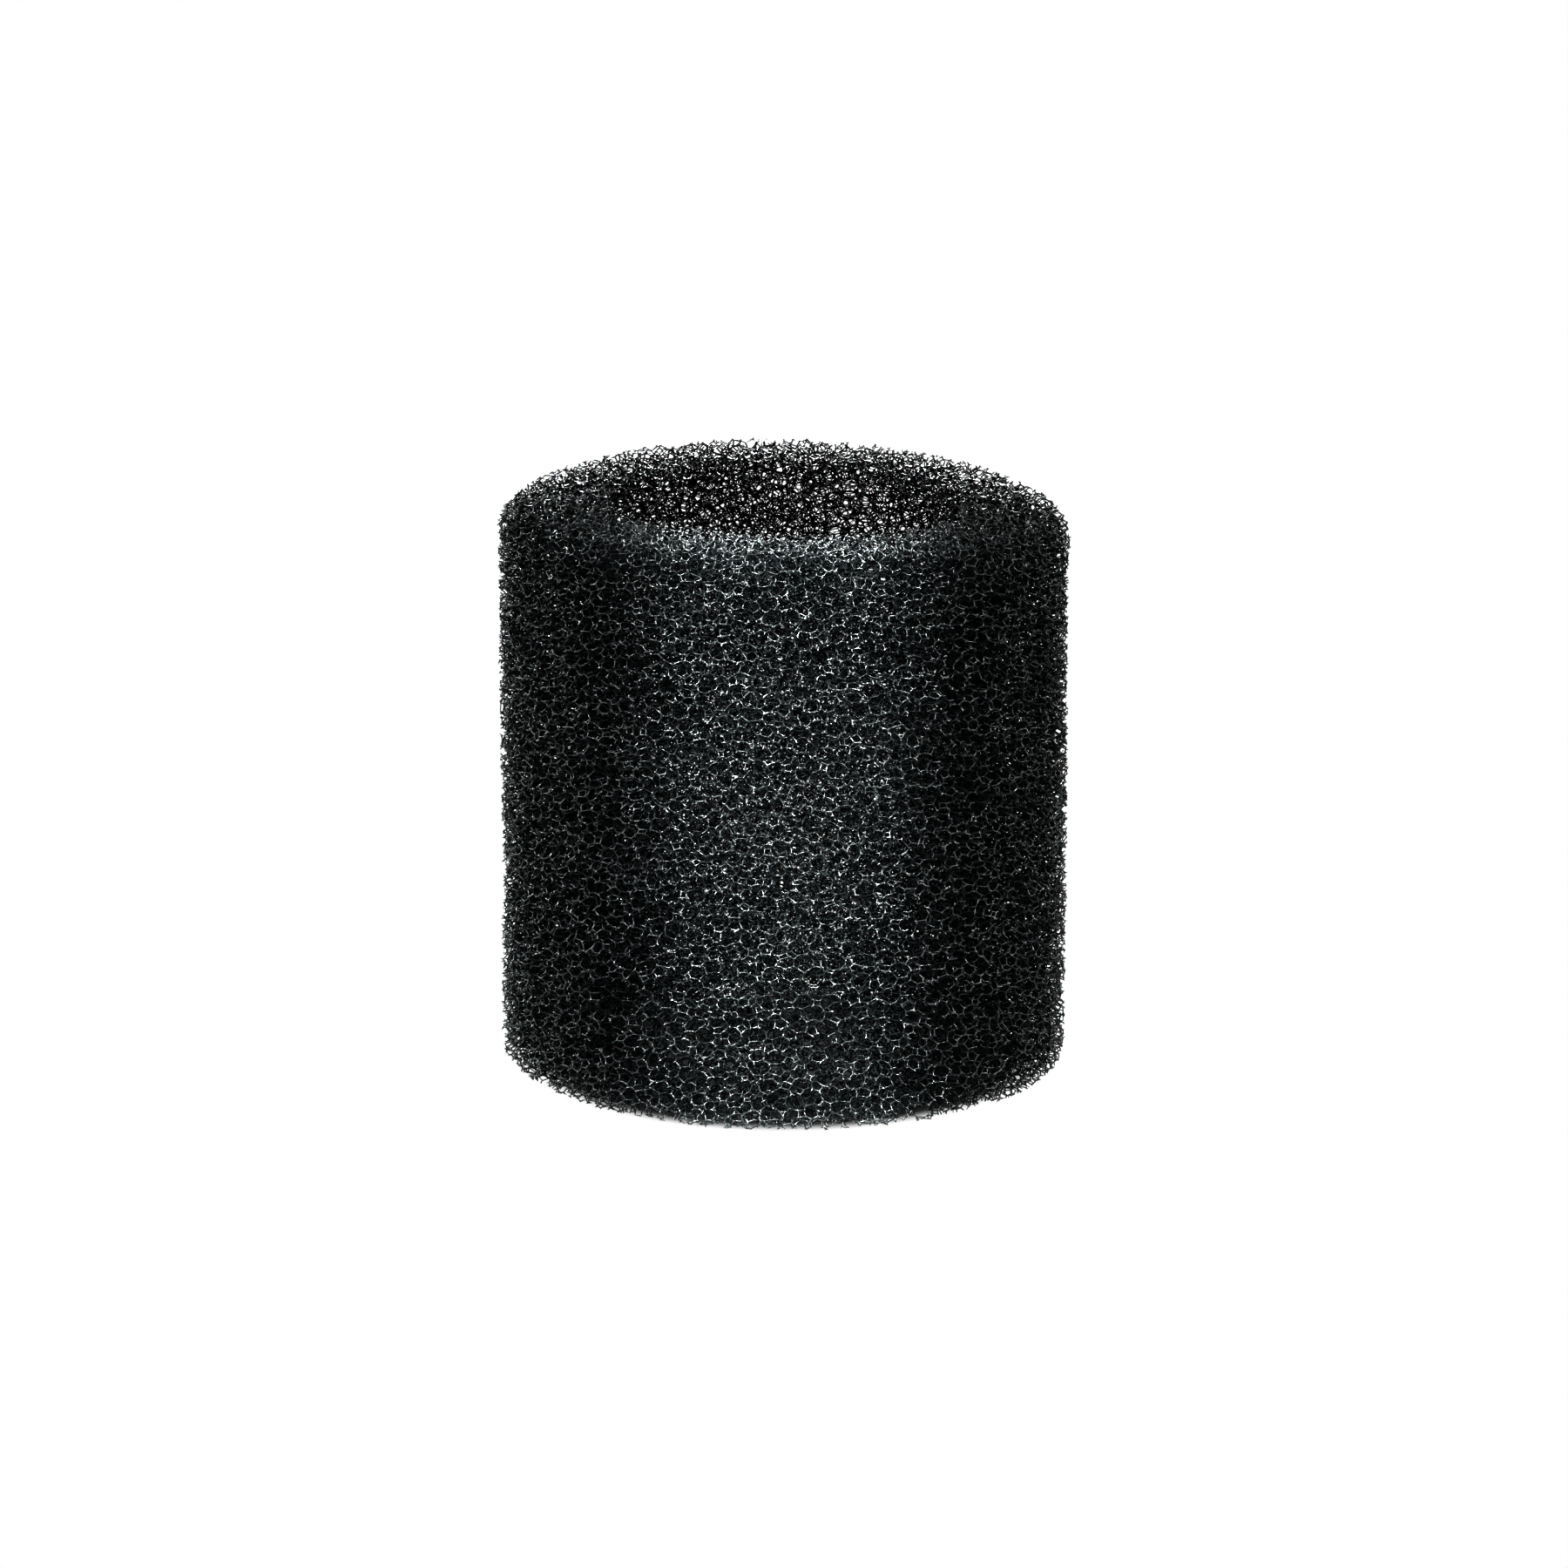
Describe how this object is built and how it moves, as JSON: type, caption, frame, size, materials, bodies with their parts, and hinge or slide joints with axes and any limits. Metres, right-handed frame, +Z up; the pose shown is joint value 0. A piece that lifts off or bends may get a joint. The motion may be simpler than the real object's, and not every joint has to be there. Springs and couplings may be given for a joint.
{
  "type": "sponge filter",
  "caption": "Upright cylindrical sleeve of coarse black open-cell foam with a wide through bore and softly rounded edges, for straining water at an intake.",
  "frame": {"origin": "centre of the lower end face", "axes": "+Z up the axis of the bore, X and Y across it; the sleeve is round, so X and Y may be turned freely"},
  "size_m": [0.076, 0.076, 0.077],
  "materials": {
    "foam": "black open-cell polyurethane foam, satin struts"
  },
  "bodies": {
    "root": {"foam_sleeve": "foam"}
  },
  "joints": []
}
